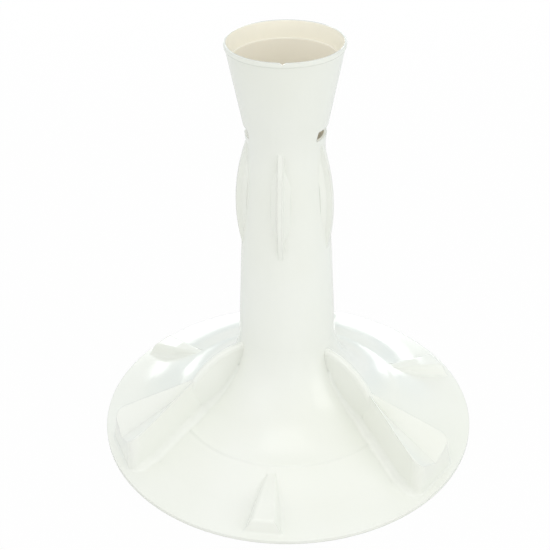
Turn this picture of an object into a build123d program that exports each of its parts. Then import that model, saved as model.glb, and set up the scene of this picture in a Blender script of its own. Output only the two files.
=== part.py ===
from build123d import *
import os
from math import cos, radians, sin, sqrt, tan

os.makedirs("parts", exist_ok=True)

# Washing machine agitator in millimetres: +Z up, origin at the centre of the rim's underside

# Skirt
rim_radius = 180.0
rim_edge = 2.8
rim_land = 3.0
brim_mid_radius = 146.0
brim_mid_height = 9.0
ring_radius = 110.0
ring_height = 24.5
bell_runs = 12
inner_runs = 5
wall = 2.8

# Post
foot_radius = 45.2
foot_height = 106.0
waist_radius = 41.4
waist_height = 190.0
high_radius = 34.8
high_height = 284.0
neck_radius = 34.2
neck_height = 298.0
flare_radius = 35.7
flare_height = 312.0

# Cup
cup_height = 388.0
lip_radius = 50.5
lip_height = 4.5
lip_step = 1.0
rebate_depth = 14.5
rebate_wall = 1.8
notch_angle = -85.0
notch_width = 5.0
notch_depth = 1.8

# Slots at the neck
slot_bottom = 308.0
slot_height = 9.0
slot_width = 41.0

# Fins on the post
fin_angles = (-90.0, -18.0, 54.0, 126.0, 198.0)
fin_peak_height = 241.5
fin_peak_radius = 45.0
fin_bow_radius = 180.0
fin_sweep = 44.0
fin_tip_width = 4.0
fin_waist_width = 6.8
fin_waist_depth = 4.4
fin_toe_width = 17.0
fin_toe_depth = 7.8
fin_depth = 9.0

# Large vanes: a rounded crest down from the post, then a fan with a valley along its top
vane_angles = (-30.0, 90.0, 210.0)
crest_centre_radius = 41.0
crest_centre_height = 31.0
crest_arc = 67.5
crest_core = 12.0
crest_half_width = 4.2
crest_sides = 5
groove_half_width = 0.9
fan_start_radius = 84.0
apex_radius = 91.0
corner_radius = 168.0
corner_half_width = 28.0
corner_height = 35.0
corner_round = 8.0
ridge_slope = 0.459
ridge_land = 1.2
valley_stations = (98.5, 112.0, 126.0, 150.0, 178.0)
valley_end_height = 24.0
valley_slope = 0.51
valley_knee_radius = 122.0
valley_knee_bend = 0.0123
valley_mouth = 6.0
flank_draft = 8.0
vane_end_radius = 172.3
vane_end_draft = 6.0

# Small wedges between the vanes
wedge_angles = (-90.0, 30.0, 150.0)
wedge_start_radius = 100.0
wedge_end_radius = 174.0
wedge_end_draft = 18.0
wedge_tip_half_width = 2.5
wedge_end_half_width = 11.0
wedge_end_height = 15.0
wedge_slope = 0.12
wedge_flank_draft = 30.0
wedge_round = 4.0

# Drive hub under the post
hub_radius = 19.0
hub_bottom = 30.0
floor_height = 97.0
floor_thickness = 4.0
pilot_radius = 11.0
spline_tip_radius = 11.6
spline_root_radius = 13.2
spline_count = 12
spline_width = 3.2
spline_top = 74.0
bolt_hole_radius = 4.5
web_angles = (-90.0, 30.0, 150.0)
web_thickness = 2.6
web_reach = 108.0
web_end_height = 21.0

margin = 5.0
rim = (rim_radius, rim_edge)
knee = (brim_mid_radius, brim_mid_height)
ring = (ring_radius, ring_height)
foot = (foot_radius, foot_height)
waist = (waist_radius, waist_height)
high = (high_radius, high_height)
neck = (neck_radius, neck_height)
flare = (flare_radius, flare_height)
lip_foot = (lip_radius - lip_step, cup_height - lip_height)


def around(shape, angles):
    return [Rot(0, 0, angle) * shape for angle in angles]


def turned(*points):
    """Solid of revolution of a polygon given as radius and height."""
    return revolve(Plane.XZ * make_face(Polyline(*points, close=True)), Axis.Z)


def outline(runs):
    """Outer outline from the rim upward, with the bell's concave sweep in straight runs."""
    bell = TangentArc(foot, ring, tangent=Line(waist, foot) % 0)
    bends = [bell @ (1 - n / runs) for n in range(1, runs)]
    return [rim, knee, ring, *bends, foot, waist, high, neck, flare, lip_foot]


def skirt_and_post():
    """All that lies within the outer outline, taken as solid."""
    lip = [(lip_radius, lip_foot[1] + lip_step), (lip_radius, cup_height), (0, cup_height)]
    return turned((0, 0), (rim_radius, 0), *outline(bell_runs), *lip)


def hollow():
    """The space under the skirt and up through the post and cup."""
    inside = offset(Polyline(*outline(inner_runs)), wall, kind=Kind.INTERSECTION, side=Side.LEFT, closed=False)
    ends = inside.vertices().sort_by(Axis.Y)
    low, top = ends[0], ends[-1]
    over = cup_height + margin
    rest = Polyline((top.X, top.Y), (top.X, over), (0, over), (0, -margin), (low.X, -margin), (low.X, low.Y))
    space = revolve(Plane.XZ * make_face(inside.edges() + rest.edges()), Axis.Z)
    return space & Cylinder(rim_radius - rim_land, 2 * over)


def rebate():
    """Step inside the mouth that a cap drops into."""
    base = cup_height - rebate_depth
    mouth = lip_radius - rebate_wall
    slope = (lip_foot[0] - flare_radius) / (lip_foot[1] - flare_height)
    return turned((0, base), (mouth - slope * rebate_depth, base), (mouth, cup_height), (mouth, cup_height + margin),
                  (0, cup_height + margin))


def swept(section, centre_radius, centre_height, angle):
    """Turns an upright section upward about a level axis that crosses under it."""
    axis = Axis((centre_radius, 0, centre_height), (0, -1, 0))
    place = Plane(origin=(centre_radius, 0, centre_height), x_dir=(1, 0, 0), z_dir=(0, 0, 1))
    return revolve(place * make_face(section), axis, angle)


def crest(inset):
    """Round-topped wall that carries a vane up to the post."""
    if inset > 0:
        top = crest_arc - inset
        slim = Polyline((crest_core, groove_half_width), (top, groove_half_width), (top, -groove_half_width),
                        (crest_core, -groove_half_width), close=True)
        return swept(slim, crest_centre_radius, crest_centre_height, 90)
    half = crest_half_width
    turns = [radians(180 * n / crest_sides) for n in range(crest_sides + 1)]
    crown = [(crest_arc - half + half * sin(turn), half * cos(turn)) for turn in turns]
    section = Polyline((crest_core, half), *crown, (crest_core, -half), close=True)
    return swept(section, crest_centre_radius, crest_centre_height, 90)


def ridge(u):
    """Height of a vane's two ridges at radius u."""
    return corner_height + ridge_slope * (corner_radius - u)


def half_width(u):
    """Half the distance between a vane's two ridges at radius u."""
    return corner_half_width * (u - apex_radius) / (corner_radius - apex_radius)


def fan_block(inset, floor):
    """Plane-sided outer part of a vane, before its valley."""
    lean = tan(radians(flank_draft))
    end_lean = tan(radians(vane_end_draft))

    def wide(u, z):
        return half_width(u) + (ridge(u) - z) * lean - inset

    start = fan_start_radius + inset
    tip = apex_radius + inset * (1 - lean) * (corner_radius - apex_radius) / corner_half_width
    end_foot = vane_end_radius - inset - floor * end_lean
    end_top = vane_end_radius - inset - ridge(vane_end_radius) * end_lean
    points = [(start, 0, ridge(start) + (half_width(start) - inset) / lean), (tip, 0, ridge(tip) - inset)]
    for u, z in ((start, floor), (end_foot, floor), (end_top, ridge(end_top) - inset)):
        points += [(u, wide(u, z), z), (u, -wide(u, z), z)]
    block = ConvexPolyhedron(points)
    corners = block.edges().filter_by(lambda e: e.bounding_box().min.X > vane_end_radius - 4 * wall)
    posts = corners.filter_by(lambda e: e.bounding_box().size.Z > corner_height / 2)
    return fillet(posts, corner_round - inset)


def valley_section(u, inset):
    """Vee across a vane's top at radius u, open upward."""
    crown = half_width(u) - ridge_land
    bend = max(0.0, valley_knee_radius - u)
    low = valley_end_height + valley_slope * (corner_radius - u) + valley_knee_bend * bend**2
    slope = (ridge(u) - low) / crown
    base = low - inset * sqrt(1 + slope**2)
    reach = crown + valley_mouth
    over = base + slope * reach
    outline = Polyline((0, base), (reach, over), (-reach, over), close=True)
    return Plane(origin=(u, 0, 0), x_dir=(0, 1, 0), z_dir=(1, 0, 0)) * make_face(outline)


def valley(inset):
    return loft([valley_section(u, inset) for u in valley_stations], ruled=inset > 0)


def vane(inset, floor):
    return crest(inset) + (fan_block(inset, floor) - valley(inset))


def wedge(inset, floor):
    """Small flat-topped wedge."""
    lean = tan(radians(wedge_flank_draft))
    end_lean = tan(radians(wedge_end_draft))
    gain = (wedge_end_half_width - wedge_tip_half_width) / (wedge_end_radius - wedge_start_radius)

    def top(u):
        return wedge_end_height + wedge_slope * (wedge_end_radius - u) - inset

    def wide(u, z):
        return wedge_tip_half_width + gain * (u - wedge_start_radius) - inset + (top(u) - z) * lean

    start = wedge_start_radius + inset / gain
    end_foot = wedge_end_radius - inset - floor * end_lean
    end_top = wedge_end_radius - inset - wedge_end_height * end_lean
    points = []
    for u, z in ((start, floor), (start, top(start)), (end_foot, floor), (end_top, top(end_top))):
        points += [(u, wide(u, z), z), (u, -wide(u, z), z)]
    block = ConvexPolyhedron(points)
    if inset > 0:
        return block
    upper = block.edges().filter_by(lambda e: e.bounding_box().min.Z > rim_edge and e.center().X > start)
    return fillet(upper, wedge_round)


def fin():
    """Bowed rib on the post, with hollow flanks that spread at its root."""
    half = [(0, fin_tip_width / 2), (fin_waist_depth, fin_waist_width / 2), (fin_toe_depth, fin_toe_width / 2),
            (fin_depth, fin_toe_width / 2)]
    right = [(fin_bow_radius - depth, width) for depth, width in half]
    left = [(reach, -width) for reach, width in reversed(right)]
    centre = fin_peak_radius - fin_bow_radius
    bow = swept(Polyline(*right, *left, close=True), centre, fin_peak_height, fin_sweep)
    return Pos(centre, 0, fin_peak_height) * Rot(0, fin_sweep / 2, 0) * Pos(-centre, 0, -fin_peak_height) * bow


def slot():
    middle = slot_bottom + slot_height / 2
    return Pos(0, 0, middle) * Box(2.4 * lip_radius, slot_width, slot_height)


def notch():
    """Small vee in the rim of the cup, beside the front fin."""
    over = cup_height + margin
    outline = Polyline((-notch_width / 2, cup_height), (0, cup_height - notch_depth), (notch_width / 2, cup_height),
                       (notch_width / 2, over), (-notch_width / 2, over), close=True)
    return Rot(0, 0, notch_angle + 90) * extrude(Plane.XZ * make_face(outline), 2 * lip_radius)


def hub_blank():
    """Tube, floor and webs that carry the drive, before boring."""
    tube = turned((0, hub_bottom), (hub_radius, hub_bottom), (hub_radius, floor_height), (0, floor_height))
    floor = turned((0, floor_height), (foot_radius, floor_height), (foot_radius, floor_height + floor_thickness),
                   (0, floor_height + floor_thickness))
    outline = Polyline((hub_radius / 2, hub_bottom), (web_reach, web_end_height), (web_reach, floor_height),
                       (hub_radius / 2, floor_height), close=True)
    web = extrude(Plane.XZ * make_face(outline), web_thickness / 2, both=True)
    return tube + floor + around(web, web_angles)


def hub_bore():
    """Splined lower bore, smooth pilot above it, and the bolt hole through the floor."""
    mouth = hub_bottom - margin
    bore = turned((0, mouth), (spline_tip_radius, mouth), (spline_tip_radius, spline_top), (pilot_radius, spline_top),
                  (pilot_radius, floor_height), (0, floor_height))
    bolt = Pos(0, 0, floor_height) * Cylinder(bolt_hole_radius, 4 * floor_thickness)
    height = spline_top - mouth
    groove = Pos(spline_root_radius / 2, 0, spline_top - height / 2) * Box(spline_root_radius, spline_width, height)
    angles = [360.0 * n / spline_count for n in range(spline_count)]
    return bore + bolt + around(groove, angles)


def agitator_body():
    """The whole moulding: one even wall that follows the skirt, vanes, wedges and post."""
    filled = skirt_and_post() + around(vane(0, 0), vane_angles) + around(wedge(0, 0), wedge_angles)
    filled = filled + around(fin(), fin_angles)
    space = hollow() + around(vane(wall, -margin), vane_angles) + around(wedge(wall, -margin), wedge_angles)
    body = filled - space - rebate() - slot() - notch()
    return body + (hub_blank() & filled) - hub_bore()


body = agitator_body()
export_step(body, "parts/agitator_body.step")
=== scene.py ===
from math import asin, cos, radians, sin

import bpy
from mathutils import Matrix, Vector
from mathutils.bvhtree import BVHTree


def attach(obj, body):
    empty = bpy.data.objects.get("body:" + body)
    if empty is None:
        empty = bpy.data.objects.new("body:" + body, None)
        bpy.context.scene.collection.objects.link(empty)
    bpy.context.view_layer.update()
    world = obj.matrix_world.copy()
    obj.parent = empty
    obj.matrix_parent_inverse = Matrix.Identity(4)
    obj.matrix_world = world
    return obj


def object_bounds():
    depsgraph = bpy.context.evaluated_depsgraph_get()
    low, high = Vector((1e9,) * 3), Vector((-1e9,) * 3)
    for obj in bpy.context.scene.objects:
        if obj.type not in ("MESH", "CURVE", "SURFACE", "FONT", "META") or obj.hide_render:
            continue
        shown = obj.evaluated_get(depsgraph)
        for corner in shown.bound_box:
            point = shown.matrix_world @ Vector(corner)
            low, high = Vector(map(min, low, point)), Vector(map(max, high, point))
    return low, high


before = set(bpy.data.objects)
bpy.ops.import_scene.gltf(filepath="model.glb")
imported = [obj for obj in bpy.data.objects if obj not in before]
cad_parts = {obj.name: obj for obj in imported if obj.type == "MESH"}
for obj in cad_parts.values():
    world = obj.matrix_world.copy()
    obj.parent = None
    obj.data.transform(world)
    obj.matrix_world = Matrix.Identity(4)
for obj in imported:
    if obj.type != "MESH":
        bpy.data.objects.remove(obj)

cad_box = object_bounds()

# Camera: where it stands around the post, and where it looks
CAMERA_AZIMUTH = -82.5
CAMERA_REACH = 0.853
CAMERA_HEIGHT = 0.7052
CAMERA_HEADING = 98.23
CAMERA_PITCH = -32.5
CAMERA_ROLL = -0.81
CAMERA_LENS = 71.54
SENSOR = 36.0

# Plastic: its colour outside, in the flow marks, inside the post and cup, and above the cup's ledge, where
# a lighter colour is painted light
PLASTIC = (0.865, 0.885, 0.83, 1.0)
PLASTIC_SHADE = (0.845, 0.865, 0.795, 1.0)
PLASTIC_INSIDE = (0.90, 0.862, 0.755, 1.0)
PLASTIC_REBATE_PAINTED_LIGHT = (0.97, 0.94, 0.82, 1.0)
PLASTIC_ROUGHNESS = (0.14, 0.24)
PLASTIC_IOR = 1.49
EDGE_SOFTNESS = 0.0012

# Noises in the plastic: scale and detail of each, and the middle in which most of their values lie
FLOW_MARKS = (9.0, 2.0)
HAZE = (28.0, 4.0)
RIPPLE = (160.0, 2.0)
RIPPLE_STRENGTH = 0.05
RIPPLE_DEPTH = 0.0004
NOISE_MIDDLE = (0.35, 0.65)

# Outline of the moulding's smooth outside: radii and heights in metres, slopes in degrees. The pairs
# are where one run goes over into the next. The last pair is how well a face's normal has to match the
# outline's, as a cosine, for the face to belong to it.
BELL_CENTRE = 0.1339
BELL_RADIUS = 0.0888
APRON_SLOPE = 23.3
BRIM_SLOPE = 10.3
APRON_START = (0.106, 0.114)
BRIM_START = (0.124, 0.168)
FOOT_HEIGHT = 0.106
POST_TILT = 4.0
CUP_TILT = -10.9
CUP_START = (0.274, 0.324)
OUTLINE_MATCH = (0.980, 0.990)

# Faint ring round the apron: its outer and inner radius, its step, and where along Y it fades in,
# in metres
MOULD_RING = (0.1112, 0.1075)
MOULD_RING_STEP = 0.0009
MOULD_RING_FADE = (0.03, -0.05)

# Inside of the cup: the heights over which the rebate's painted light starts, the heights between which
# the ledge lies, how much a face between them counts as turned inward, and how far inward a face has to
# look for the colour to start and to be full
REBATE_PAINTED_LIGHT_START = (0.372, 0.375)
LEDGE_FACES = (0.364, 0.3868)
LEDGE_SHARE = 0.6
INWARD = (-0.2, -0.6)

# Ball that is rolled along the feet of the vanes and wedges, in metres and degrees: the height that it is
# dropped from, how many radii above the ground it may rest, how often each search halves its span, how
# close its touch has to be to the bare skirt in height and direction, an angle at which the skirt is
# bare, how far the ball is moved to the wall to find its touch there, and the steps across a blend
SKY = 0.150
HIGHEST_REST = 6
SETTLE_HALVINGS = 16
SEARCH_HALVINGS = 14
SKIRT_GAP = 0.0008
SKIRT_MATCH = 0.9
BARE_ANGLE = -60
WALL_SIDE = 0.0005
BLEND_STEPS = 8

# Feet of the vanes and wedges, in metres: where they start and end, the ball's radius there and where
# it is full, half their width, how it spreads and from where, and the corner at their end. The last
# rows are for both: the radius at the end, the steps round a corner and where the radius is down to
# the end's, the distance between stations, and how far outward each search looks
VANE_ANGLES = (-30, 90, 210)
VANE_STATIONS = (0.054, 0.160)
VANE_BLEND = (0.0030, 0.0085)
VANE_BLEND_FULL = 0.104
VANE_HALF = 0.0042
FAN_START = 0.091
FAN_SPREAD = 0.3636
VANE_CORNER = (0.160, 0.022)
WEDGE_ANGLES = (-90, 30, 150)
WEDGE_STATIONS = (0.106, 0.166)
WEDGE_BLEND = (0.0012, 0.0045)
WEDGE_BLEND_FULL = 0.140
WEDGE_START = 0.100
WEDGE_HALF = 0.0025
WEDGE_SPREAD = 0.115
WEDGE_CORNER = (0.166, 0.005)
END_BLEND = 0.0025
CORNER_TURNS = 14
CORNER_FADE = 0.8
STATION_STEP = 0.002
SIDE_SEARCH = (0.0005, 0.026)
END_SEARCH = (0.0005, 0.018)

# Studio: the floor, the room, whose back is darker and bluer low down, and the lamps with their
# azimuth, elevation and distance, width and height, and watts
FLOOR_COLOUR = (0.80, 0.80, 0.79, 1.0)
FLOOR_SIZE = 12
FLOOR_GLOW = 0.96
WHITE = (1.0, 1.0, 1.0, 1.0)
WORLD_STRENGTH = 0.91
BACK_OF_ROOM = (0.42, 0.56, 0.70, 1.0)
BEHIND = (-0.1, 0.4)
LOW_DOWN = (0.45, 0.25)
LAMPS = (
    ("top_box", -90, 70, 1.7, (1.0, 1.0), 3.4),
    ("right_box", -20, 15, 1.7, (1.0, 1.0), 3.7),
    ("left_box", -130, 20, 1.7, (1.0, 1.0), 1.3),
    ("back_right_panel", 80, 7, 1.9, (0.75, 0.30), 2.9),
    ("back_left_panel", 113, 9, 1.9, (0.75, 0.30), 3.1),
)


def direction(azimuth, elevation):
    a, e = radians(azimuth), radians(elevation)
    return Vector((cos(a) * cos(e), sin(a) * cos(e), sin(e)))


def put_camera():
    data = bpy.data.cameras.new("view")
    data.lens = CAMERA_LENS
    data.sensor_width = SENSOR
    camera = bpy.data.objects.new("view", data)
    bpy.context.collection.objects.link(camera)
    place = direction(CAMERA_AZIMUTH, 0) * CAMERA_REACH
    place.z = CAMERA_HEIGHT
    look = direction(CAMERA_HEADING, CAMERA_PITCH)
    turn = look.to_track_quat("-Z", "Y").to_matrix().to_4x4()
    roll = Matrix.Rotation(radians(CAMERA_ROLL), 4, "Z")
    camera.matrix_world = Matrix.Translation(place) @ turn @ roll
    bpy.context.scene.camera = camera


def material(name):
    made = bpy.data.materials.new(name)
    made.use_nodes = True
    made.node_tree.nodes.clear()
    return made, made.node_tree.nodes, made.node_tree.links


def feed(links, socket, value):
    """Sets an input to a number, a vector or a colour, or links a socket to it."""
    if isinstance(value, (int, float, tuple)):
        socket.default_value = value
    else:
        links.new(value, socket)


def noise(nodes, links, place, scale, detail):
    made = nodes.new("ShaderNodeTexNoise")
    made.inputs["Scale"].default_value = scale
    made.inputs["Detail"].default_value = detail
    links.new(place, made.inputs["Vector"])
    return made.outputs["Fac"]


def maths(nodes, links, operation, *values):
    """Math node whose inputs are numbers or sockets."""
    made = nodes.new("ShaderNodeMath")
    made.operation = operation
    for socket, value in zip(made.inputs, values):
        feed(links, socket, value)
    return made.outputs["Value"]


def vectors(nodes, links, operation, *values, out="Vector"):
    """Vector Math node whose inputs are vectors, numbers or sockets."""
    made = nodes.new("ShaderNodeVectorMath")
    made.operation = operation
    sockets = [made.inputs[0], made.inputs["Scale"]] if operation == "SCALE" else made.inputs
    for socket, value in zip(sockets, values):
        feed(links, socket, value)
    return made.outputs[out]


def dot(nodes, links, first, second):
    return vectors(nodes, links, "DOT_PRODUCT", first, second, out="Value")


def ramp(nodes, links, value, span, ends=(0.0, 1.0), smooth=True):
    """Change from one end to the other as a value goes across the span."""
    made = nodes.new("ShaderNodeMapRange")
    if smooth:
        made.interpolation_type = "SMOOTHSTEP"
    links.new(value, made.inputs["Value"])
    for name, number in zip(("From Min", "From Max", "To Min", "To Max"), (*span, *ends)):
        made.inputs[name].default_value = number
    return made.outputs["Result"]


def mixed(nodes, links, share, first, second):
    """Number between first and second."""
    part = maths(nodes, links, "MULTIPLY", maths(nodes, links, "SUBTRACT", second, first), share)
    return maths(nodes, links, "ADD", first, part)


def mixed_colour(nodes, links, share, first, second):
    """Colour between first and second."""
    made = nodes.new("ShaderNodeMix")
    made.data_type = "RGBA"
    links.new(share, made.inputs["Factor"])
    feed(links, made.inputs["A"], first)
    feed(links, made.inputs["B"], second)
    return made.outputs["Result"]


def surface_tilt(nodes, links, reach, height):
    """Angle of the smooth outside's normal from straight up, by radius and height."""
    inward = maths(nodes, links, "SUBTRACT", BELL_CENTRE, reach)
    offset = maths(nodes, links, "DIVIDE", inward, BELL_RADIUS)
    bell = maths(nodes, links, "ARCSINE", maths(nodes, links, "MINIMUM", offset, 1.0))
    outer = ramp(nodes, links, reach, BRIM_START, (radians(APRON_SLOPE), radians(BRIM_SLOPE)))
    skirt = mixed(nodes, links, ramp(nodes, links, reach, APRON_START), bell, outer)
    post = ramp(nodes, links, height, CUP_START, (radians(90 - POST_TILT), radians(90 - CUP_TILT)))
    return mixed(nodes, links, maths(nodes, links, "GREATER_THAN", height, FOOT_HEIGHT), skirt, post)


def soft_normal(nodes, links, normal, away, reach, height):
    """Normal that is smooth along the outline and soft at edges, and one where a face is the outline's."""
    tilt = surface_tilt(nodes, links, reach, height)
    level = vectors(nodes, links, "SCALE", away, maths(nodes, links, "SINE", tilt))
    upright = nodes.new("ShaderNodeCombineXYZ")
    links.new(maths(nodes, links, "COSINE", tilt), upright.inputs["Z"])
    outline = vectors(nodes, links, "ADD", level, upright.outputs["Vector"])
    bare = ramp(nodes, links, dot(nodes, links, normal, outline), OUTLINE_MATCH)
    change = vectors(nodes, links, "SCALE", vectors(nodes, links, "SUBTRACT", outline, normal), bare)

    edge = nodes.new("ShaderNodeBevel")
    edge.samples = 8
    edge.inputs["Radius"].default_value = EDGE_SOFTNESS
    total = vectors(nodes, links, "ADD", edge.outputs["Normal"], change)
    return vectors(nodes, links, "NORMALIZE", total), bare


def inside_share(nodes, links, normal, away, height):
    """One on the walls inside the post and cup and on the ledge, nothing elsewhere."""
    above_ledge = maths(nodes, links, "GREATER_THAN", height, LEDGE_FACES[0])
    below_top = maths(nodes, links, "LESS_THAN", height, LEDGE_FACES[1])
    at_ledge = maths(nodes, links, "MULTIPLY", above_ledge, below_top)
    turned = maths(nodes, links, "MULTIPLY", at_ledge, LEDGE_SHARE)
    facing = maths(nodes, links, "SUBTRACT", dot(nodes, links, normal, away), turned)
    above_foot = maths(nodes, links, "GREATER_THAN", height, FOOT_HEIGHT)
    return maths(nodes, links, "MULTIPLY", ramp(nodes, links, facing, INWARD), above_foot)


def ring_height(nodes, links, place, reach, bare):
    """Height of the ring's step on the bare skirt, from nothing outside it to one inside it."""
    front = ramp(nodes, links, dot(nodes, links, place, (0.0, 1.0, 0.0)), MOULD_RING_FADE)
    inner = ramp(nodes, links, reach, MOULD_RING)
    return maths(nodes, links, "MULTIPLY", inner, maths(nodes, links, "MULTIPLY", bare, front))


def white_plastic(name, own_normals):
    """Glossy moulded plastic: faint flow marks, uneven gloss and ripple, creamier inside the cup, and
    painted light that makes the band above the cup's ledge lighter.
    """
    made, nodes, links = material(name)
    out = nodes.new("ShaderNodeOutputMaterial")
    shader = nodes.new("ShaderNodeBsdfPrincipled")
    shader.inputs["IOR"].default_value = PLASTIC_IOR
    place = nodes.new("ShaderNodeTexCoord").outputs["Object"]
    here = nodes.new("ShaderNodeNewGeometry")
    normal = here.outputs["Normal"]
    flat = vectors(nodes, links, "MULTIPLY", here.outputs["Position"], (1.0, 1.0, 0.0))
    away = vectors(nodes, links, "NORMALIZE", flat)
    reach = vectors(nodes, links, "LENGTH", flat, out="Value")
    height = dot(nodes, links, here.outputs["Position"], (0.0, 0.0, 1.0))
    soft, bare = soft_normal(nodes, links, normal, away, reach, height)

    flow = ramp(nodes, links, noise(nodes, links, place, *FLOW_MARKS), NOISE_MIDDLE, smooth=False)
    tone = mixed_colour(nodes, links, flow, PLASTIC, PLASTIC_SHADE)
    # Painted light: the band above the cup's ledge is coloured lighter than the rest of the inside
    painted_light_band = ramp(nodes, links, height, REBATE_PAINTED_LIGHT_START)
    cup_tone_and_painted_light = mixed_colour(nodes, links, painted_light_band, PLASTIC_INSIDE, PLASTIC_REBATE_PAINTED_LIGHT)
    inside = inside_share(nodes, links, normal, away, height)
    links.new(mixed_colour(nodes, links, inside, tone, cup_tone_and_painted_light), shader.inputs["Base Color"])

    haze = noise(nodes, links, place, *HAZE)
    gloss = ramp(nodes, links, haze, NOISE_MIDDLE, PLASTIC_ROUGHNESS, smooth=False)
    links.new(gloss, shader.inputs["Roughness"])

    ring = nodes.new("ShaderNodeBump")
    ring.inputs["Distance"].default_value = MOULD_RING_STEP
    links.new(normal if own_normals else soft, ring.inputs["Normal"])
    links.new(ring_height(nodes, links, place, reach, bare), ring.inputs["Height"])
    ripple = nodes.new("ShaderNodeBump")
    ripple.inputs["Strength"].default_value = RIPPLE_STRENGTH
    ripple.inputs["Distance"].default_value = RIPPLE_DEPTH
    links.new(ring.outputs["Normal"], ripple.inputs["Normal"])
    links.new(noise(nodes, links, place, *RIPPLE), ripple.inputs["Height"])
    links.new(ripple.outputs["Normal"], shader.inputs["Normal"])
    links.new(shader.outputs["BSDF"], out.inputs["Surface"])
    return made


def smooth_share(value, low, high):
    share = min(max((value - low) / (high - low), 0.0), 1.0)
    return share * share * (3 - 2 * share)


def between(span, share):
    return span[0] + (span[1] - span[0]) * share


def skirt_normal(point):
    """Normal of the smooth bare skirt at a point on it."""
    reach = point.xy.length
    bell = asin(min((BELL_CENTRE - reach) / BELL_RADIUS, 1.0))
    outer = radians(between((APRON_SLOPE, BRIM_SLOPE), smooth_share(reach, *BRIM_START)))
    tilt = between((bell, outer), smooth_share(reach, *APRON_START))
    return Vector((point.x / reach * sin(tilt), point.y / reach * sin(tilt), cos(tilt)))


def ground_below(tree, place):
    return tree.ray_cast((place.x, place.y, SKY), (0, 0, -1))[0]


def settle(tree, place, radius):
    """Ball lowered until it touches: its centre, the point that it touches and the normal there."""
    ground = ground_below(tree, place)
    if ground is None:
        return None
    low, high = ground.z, ground.z + HIGHEST_REST * radius
    for _ in range(SETTLE_HALVINGS):
        middle = (low + high) / 2
        if tree.find_nearest((place.x, place.y, middle))[3] < radius:
            low = middle
        else:
            high = middle
    centre = Vector((place.x, place.y, high))
    point, normal = tree.find_nearest(centre)[:2]
    return centre, point, normal


def on_skirt(tree, touch):
    """True where the ball touches the bare skirt and not a wall or the top of a vane."""
    if touch is None:
        return True
    _, point, normal = touch
    ground = ground_below(tree, direction(BARE_ANGLE, 0) * point.xy.length)
    level = ground is None or point.z - ground.z < SKIRT_GAP
    return level and normal.dot(skirt_normal(point)) > SKIRT_MATCH


def arc(tree, base, outward, span, radius):
    """Points and normals across the blend where the ball touches both the skirt and the wall."""
    near, far = span
    for _ in range(SEARCH_HALVINGS):
        middle = (near + far) / 2
        if on_skirt(tree, settle(tree, base + outward * middle, radius)):
            far = middle
        else:
            near = middle
    touch = settle(tree, base + outward * far, radius)
    if touch is None:
        return None
    centre, point, _ = touch
    wall = tree.find_nearest(centre - outward.to_3d() * WALL_SIDE)[0]
    to_skirt, to_wall = (centre - point).normalized(), (centre - wall).normalized()
    shares = [k / BLEND_STEPS for k in range(BLEND_STEPS + 1)]
    points = [centre - to_skirt.slerp(to_wall, share) * radius for share in shares]
    return points, [skirt_normal(point).slerp(to_wall, share) for share in shares]


def half_path(stations, half, corner, blend, full):
    """Places along one side of a foot, round its corner and half way along its end."""
    path = []
    count = round((stations[1] - stations[0]) / STATION_STEP)
    for k in range(count + 1):
        u = stations[0] + k * STATION_STEP
        radius = between(blend, smooth_share(u, stations[0], full))
        path.append(((u, half(u)), (0, 1), SIDE_SEARCH, radius))
    for k in range(1, CORNER_TURNS):
        share = k / CORNER_TURNS
        way = cos(radians(90 - 90 * share)), sin(radians(90 - 90 * share))
        radius = between((blend[1], END_BLEND), smooth_share(share, 0, CORNER_FADE))
        path.append((corner, way, SIDE_SEARCH, radius))
    count = round(corner[1] / STATION_STEP)
    for k in range(count + 1):
        path.append(((corner[0], corner[1] * (1 - k / count)), (1, 0), END_SEARCH, END_BLEND))
    return path


def vane_half(u):
    return max(VANE_HALF, (u - FAN_START) * FAN_SPREAD)


def wedge_half(u):
    return WEDGE_HALF + (u - WEDGE_START) * WEDGE_SPREAD


def put_blends(node):
    """Rounded feet of the vanes and wedges."""
    tree = BVHTree.FromPolygons([v.co for v in node.data.vertices],
                                [p.vertices for p in node.data.polygons])
    vane = half_path(VANE_STATIONS, vane_half, VANE_CORNER, VANE_BLEND, VANE_BLEND_FULL)
    wedge = half_path(WEDGE_STATIONS, wedge_half, WEDGE_CORNER, WEDGE_BLEND, WEDGE_BLEND_FULL)
    sides = [(vane, angle, side) for angle in VANE_ANGLES for side in (1, -1)]
    sides += [(wedge, angle, side) for angle in WEDGE_ANGLES for side in (1, -1)]
    points, normals, faces = [], [], []
    for path, angle, side in sides:
        along = direction(angle, 0).xy
        across = Vector((-along.y, along.x)) * side
        last = None
        for (u, v), (du, dv), span, radius in path:
            made = arc(tree, along * u + across * v, along * du + across * dv, span, radius)
            if made is None:
                continue
            start = len(points)
            points += made[0]
            normals += made[1]
            if last is not None:
                rows = [(last + k, last + k + 1, start + k + 1, start + k) for k in range(BLEND_STEPS)]
                faces += rows if side > 0 else [row[::-1] for row in rows]
            last = start
    mesh = bpy.data.meshes.new("foot_blends")
    mesh.from_pydata(points, [], faces)
    mesh.polygons.foreach_set("use_smooth", [True] * len(mesh.polygons))
    mesh.normals_split_custom_set_from_vertices(normals)
    blends = bpy.data.objects.new("foot_blends", mesh)
    bpy.context.collection.objects.link(blends)
    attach(blends, "root")
    return blends


def by_share(nodes, links, share, first, second, out):
    """Mixes two shaders into an output."""
    blend = nodes.new("ShaderNodeMixShader")
    links.new(share, blend.inputs["Fac"])
    links.new(first, blend.inputs[1])
    links.new(second, blend.inputs[2])
    links.new(blend.outputs["Shader"], out.inputs["Surface"])


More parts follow.
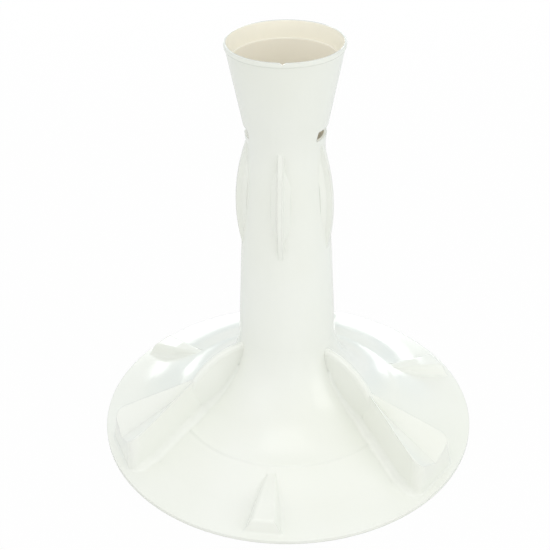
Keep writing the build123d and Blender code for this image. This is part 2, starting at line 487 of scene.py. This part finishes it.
def floor_material():
    """Pale floor that keeps the object's soft shadow."""
    made, nodes, links = material("pale_floor")
    out = nodes.new("ShaderNodeOutputMaterial")
    matt = nodes.new("ShaderNodeBsdfDiffuse")
    matt.inputs["Color"].default_value = FLOOR_COLOUR
    glow = nodes.new("ShaderNodeEmission")
    glow.inputs["Color"].default_value = WHITE
    seen = nodes.new("ShaderNodeLightPath").outputs["Is Camera Ray"]
    share = maths(nodes, links, "MULTIPLY", seen, FLOOR_GLOW)
    by_share(nodes, links, share, matt.outputs["BSDF"], glow.outputs["Emission"], out)
    return made


def put_floor():
    bpy.ops.mesh.primitive_plane_add(size=FLOOR_SIZE, location=(0, 0, cad_box[0][2]))
    floor = bpy.context.object
    floor.name = "floor"
    floor.data.materials.append(floor_material())


def put_world():
    """White room for the camera. For the object its back is darker and bluer low down."""
    world = bpy.data.worlds.new("studio")
    world.use_nodes = True
    nodes, links = world.node_tree.nodes, world.node_tree.links
    nodes.clear()
    out = nodes.new("ShaderNodeOutputWorld")
    room = nodes.new("ShaderNodeBackground")
    room.inputs["Strength"].default_value = WORLD_STRENGTH
    way = nodes.new("ShaderNodeTexCoord").outputs["Generated"]
    behind = ramp(nodes, links, dot(nodes, links, way, (0.0, 1.0, 0.0)), BEHIND)
    low = ramp(nodes, links, dot(nodes, links, way, (0.0, 0.0, 1.0)), LOW_DOWN)
    share = maths(nodes, links, "MULTIPLY", behind, low)
    links.new(mixed_colour(nodes, links, share, WHITE, BACK_OF_ROOM), room.inputs["Color"])
    white = nodes.new("ShaderNodeBackground")
    white.inputs["Color"].default_value = WHITE
    seen = nodes.new("ShaderNodeLightPath").outputs["Is Camera Ray"]
    by_share(nodes, links, seen, room.outputs["Background"], white.outputs["Background"], out)
    bpy.context.scene.world = world


def softbox(name, azimuth, elevation, reach, size, watts):
    """Rectangular lamp that faces the middle of the object and isn't in the picture itself."""
    data = bpy.data.lights.new(name, "AREA")
    data.shape = "RECTANGLE"
    data.size, data.size_y = size
    data.energy = watts
    lamp = bpy.data.objects.new(name, data)
    lamp.visible_camera = False
    bpy.context.collection.objects.link(lamp)
    target = Vector((0, 0, cad_box[1][2] / 2))
    place = target + direction(azimuth, elevation) * reach
    turn = (target - place).to_track_quat("-Z", "Y").to_matrix().to_4x4()
    lamp.matrix_world = Matrix.Translation(place) @ turn


def dress():
    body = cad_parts["agitator_body"]
    for piece, name in ((body, "white_plastic"), (put_blends(body), "white_plastic_blend")):
        piece.data.materials.clear()
        piece.data.materials.append(white_plastic(name, piece is not body))


put_camera()
put_world()
put_floor()
for lamp in LAMPS:
    softbox(*lamp)
dress()

bpy.context.scene.view_settings.view_transform = "Standard"
